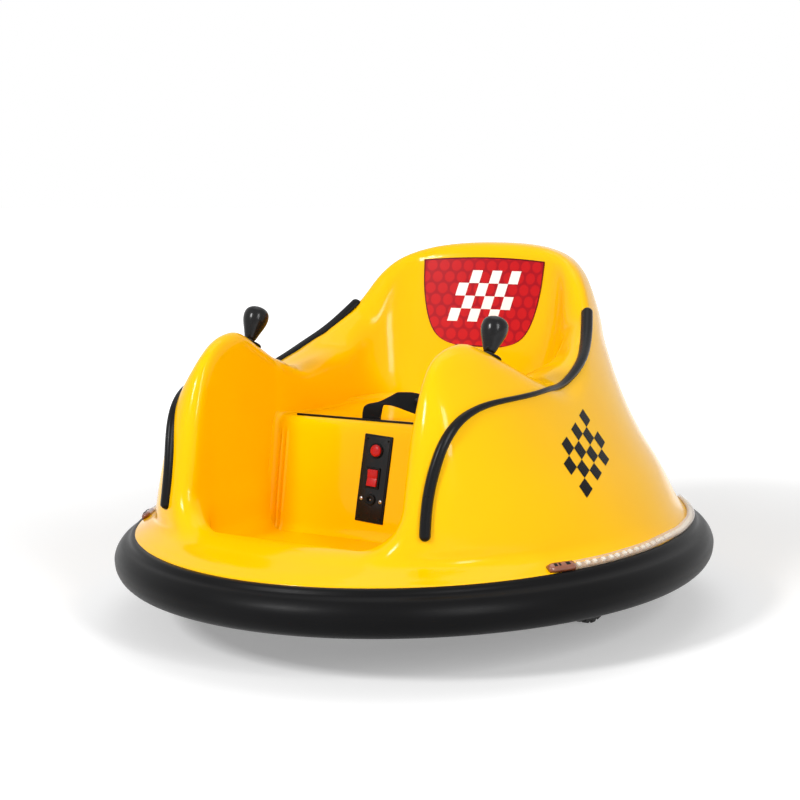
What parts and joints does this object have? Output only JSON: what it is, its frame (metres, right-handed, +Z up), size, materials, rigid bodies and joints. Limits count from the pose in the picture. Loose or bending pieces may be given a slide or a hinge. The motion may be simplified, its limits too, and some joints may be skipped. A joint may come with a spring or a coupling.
{
  "type": "electric ride-on bumper car for a toddler",
  "caption": "Child's electric bumper car: yellow moulded body with arms and backrest on an oval rubber ring, lever steering, drive wheels and casters.",
  "frame": {"origin": "on the ground under the middle of the bumper ring", "axes": "+Z up, the car faces -Y, the rider's left is +X"},
  "size_m": [0.6602, 0.7402, 0.4163],
  "materials": {
    "yellow_plastic": "gloss moulded, even yellow",
    "black_rubber": "satin soft rubber",
    "black_plastic": "fine grained",
    "black_gloss": "half gloss",
    "grey_plastic": "plain moulded",
    "red_plastic": "gloss",
    "clear_plastic": "clear sleeve over small lamps",
    "steel": "zinc plated",
    "wheel_rubber": "hard tread",
    "webbing": "woven strap"
  },
  "bodies": {
    "car": {"body_shell": "yellow_plastic", "seat_box": "yellow_plastic", "bumper_ring": "black_rubber", "base_pan": "black_plastic", "control_plate": "black_plastic", "power_button": "red_plastic", "rocker_switch": "red_plastic", "charge_socket": "black_plastic", "battery": "grey_plastic", "belt_strap": "webbing", "trim_stripe_left": "black_gloss", "lamp_strip_left": "clear_plastic", "gearbox_left": "grey_plastic", "motor_left": "steel", "drive_axle_left": "steel", "lever_housing_left": "black_plastic", "trim_stripe_right": "black_gloss", "lamp_strip_right": "clear_plastic", "gearbox_right": "grey_plastic", "motor_right": "steel", "drive_axle_right": "steel", "lever_housing_right": "black_plastic", "caster_plate_front": "steel", "caster_plate_rear": "steel"},
    "drive_wheel_left": {"drive_tyre_left": "wheel_rubber", "drive_hub_left": "black_plastic"},
    "steering_lever_left": {"lever_stick_left": "black_plastic", "lever_knob_left": "black_gloss"},
    "drive_wheel_right": {"drive_tyre_right": "wheel_rubber", "drive_hub_right": "black_plastic"},
    "steering_lever_right": {"lever_stick_right": "black_plastic", "lever_knob_right": "black_gloss"},
    "caster_swivel_front": {"caster_fork_front": "steel", "caster_axle_front": "steel"},
    "caster_roller_front": {"caster_wheel_front": "black_plastic"},
    "caster_swivel_rear": {"caster_fork_rear": "steel", "caster_axle_rear": "steel"},
    "caster_roller_rear": {"caster_wheel_rear": "black_plastic"}
  },
  "joints": [
    {"name": "drive_spin_left", "type": "hinge", "parent": "car", "child": "drive_wheel_left", "pos_m": [0.2, 0.015, 0.06], "axis": [1, 0, 0], "continuous": true},
    {"name": "lever_tilt_left", "type": "hinge", "parent": "car", "child": "steering_lever_left", "pos_m": [0.152, -0.12717, 0.28796], "axis": [1, 0, 0], "range_deg": [-15, 15], "stiffness_Nm_per_rad": 0.3},
    {"name": "drive_spin_right", "type": "hinge", "parent": "car", "child": "drive_wheel_right", "pos_m": [-0.2, 0.015, 0.06], "axis": [1, 0, 0], "continuous": true},
    {"name": "lever_tilt_right", "type": "hinge", "parent": "car", "child": "steering_lever_right", "pos_m": [-0.152, -0.12717, 0.28796], "axis": [1, 0, 0], "range_deg": [-15, 15], "stiffness_Nm_per_rad": 0.3},
    {"name": "caster_turn_front", "type": "hinge", "parent": "car", "child": "caster_swivel_front", "pos_m": [0, -0.15, 0.05], "axis": [0, 0, 1], "continuous": true},
    {"name": "caster_spin_front", "type": "hinge", "parent": "caster_swivel_front", "child": "caster_roller_front", "pos_m": [0, -0.136, 0.021], "axis": [1, 0, 0], "continuous": true},
    {"name": "caster_turn_rear", "type": "hinge", "parent": "car", "child": "caster_swivel_rear", "pos_m": [0, 0.215, 0.05], "axis": [0, 0, 1], "continuous": true},
    {"name": "caster_spin_rear", "type": "hinge", "parent": "caster_swivel_rear", "child": "caster_roller_rear", "pos_m": [0, 0.229, 0.021], "axis": [1, 0, 0], "continuous": true}
  ]
}
